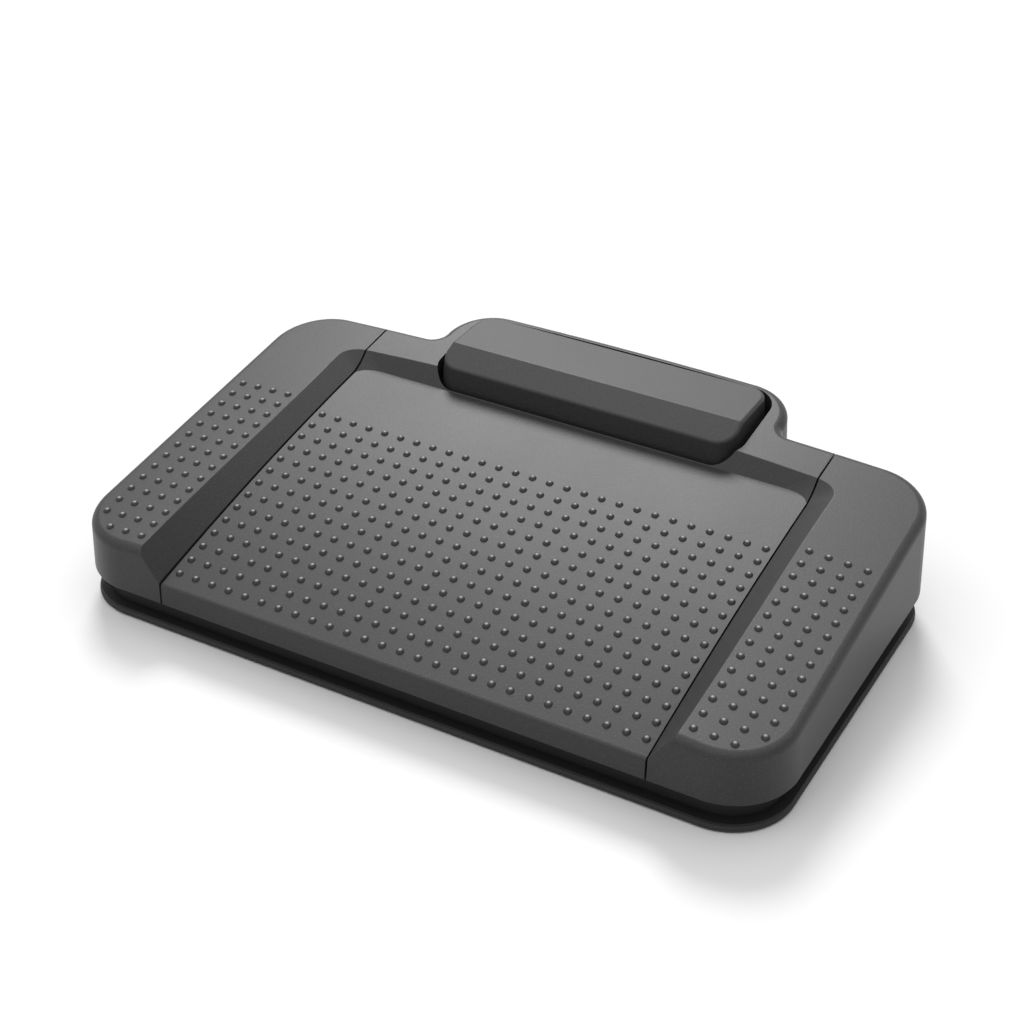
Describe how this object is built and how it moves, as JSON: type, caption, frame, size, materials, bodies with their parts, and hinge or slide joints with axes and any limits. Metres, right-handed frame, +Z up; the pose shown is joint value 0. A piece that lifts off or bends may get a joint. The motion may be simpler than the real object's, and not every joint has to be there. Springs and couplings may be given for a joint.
{
  "type": "usb foot pedal switch",
  "caption": "USB foot control: side pedals, a broad studded centre pedal and a raised rear bar, each hinged and sprung over a weighted low base.",
  "frame": {"origin": "on the floor, under the middle of the whole outline", "axes": "+X to the user's right along the hinge lines, +Y to the back, +Z up"},
  "size_m": [0.2144, 0.1404, 0.0444],
  "materials": {
    "cap_plastic": "fine moulded texture",
    "tray_plastic": "smooth matte",
    "rubber": "matte",
    "steel": "zinc plated",
    "spring_steel": "drawn wire",
    "plated_metal": "nickel plated",
    "aluminium_cans": "satin",
    "board": "solder mask",
    "component_plastic": "moulded"
  },
  "bodies": {
    "base": {"rubber_base": "rubber", "base_tray": "tray_plastic", "ballast_plate": "steel", "ballast_screws": "steel", "left_hinge_bracket": "tray_plastic", "right_hinge_bracket": "tray_plastic", "centre_hinge_bracket_left": "tray_plastic", "centre_hinge_bracket_right": "tray_plastic", "hinge_bracket_screws": "steel", "bar_carrier": "tray_plastic", "bar_carrier_screws": "steel", "left_spring": "spring_steel", "right_spring": "spring_steel", "centre_spring_left": "spring_steel", "centre_spring_right": "spring_steel", "bar_spring": "spring_steel", "side_bump_stops": "rubber", "centre_bump_stops": "rubber", "bar_bump_stop": "rubber", "circuit_board": "board", "controller_chip": "component_plastic", "crystal": "plated_metal", "capacitors": "aluminium_cans", "hall_sensors": "component_plastic", "cable_header": "component_plastic", "board_screws": "steel", "cable_gland": "rubber"},
    "left": {"left_pedal": "cap_plastic", "left_hinge_pin": "steel", "left_magnet": "plated_metal"},
    "centre": {"centre_pedal": "cap_plastic", "centre_hinge_pin_left": "steel", "centre_hinge_pin_right": "steel", "centre_magnet": "plated_metal"},
    "right": {"right_pedal": "cap_plastic", "right_hinge_pin": "steel", "right_magnet": "plated_metal"},
    "bar": {"function_bar": "cap_plastic", "bar_hinge_pin_left": "steel", "bar_hinge_pin_right": "steel", "bar_magnet": "plated_metal"}
  },
  "joints": [
    {"name": "left_pedal_hinge", "type": "hinge", "parent": "base", "child": "left", "pos_m": [0, 0.0395, 0.03], "axis": [1, 0, 0], "range_deg": [0, 2], "stiffness_Nm_per_rad": 22.3, "springref_deg": -0.66, "deforming": ["left_spring"]},
    {"name": "centre_pedal_hinge", "type": "hinge", "parent": "base", "child": "centre", "pos_m": [0, 0.0395, 0.03], "axis": [1, 0, 0], "range_deg": [0, 2], "stiffness_Nm_per_rad": 44.7, "springref_deg": -0.66, "deforming": ["centre_spring_left", "centre_spring_right"]},
    {"name": "right_pedal_hinge", "type": "hinge", "parent": "base", "child": "right", "pos_m": [0, 0.0395, 0.03], "axis": [1, 0, 0], "range_deg": [0, 2], "stiffness_Nm_per_rad": 22.3, "springref_deg": -0.66, "deforming": ["right_spring"]},
    {"name": "function_bar_hinge", "type": "hinge", "parent": "base", "child": "bar", "pos_m": [0, 0.0575, 0.0375], "axis": [1, 0, 0], "range_deg": [0, 6], "stiffness_Nm_per_rad": 0.77, "springref_deg": -3.58, "deforming": ["bar_spring"]}
  ]
}
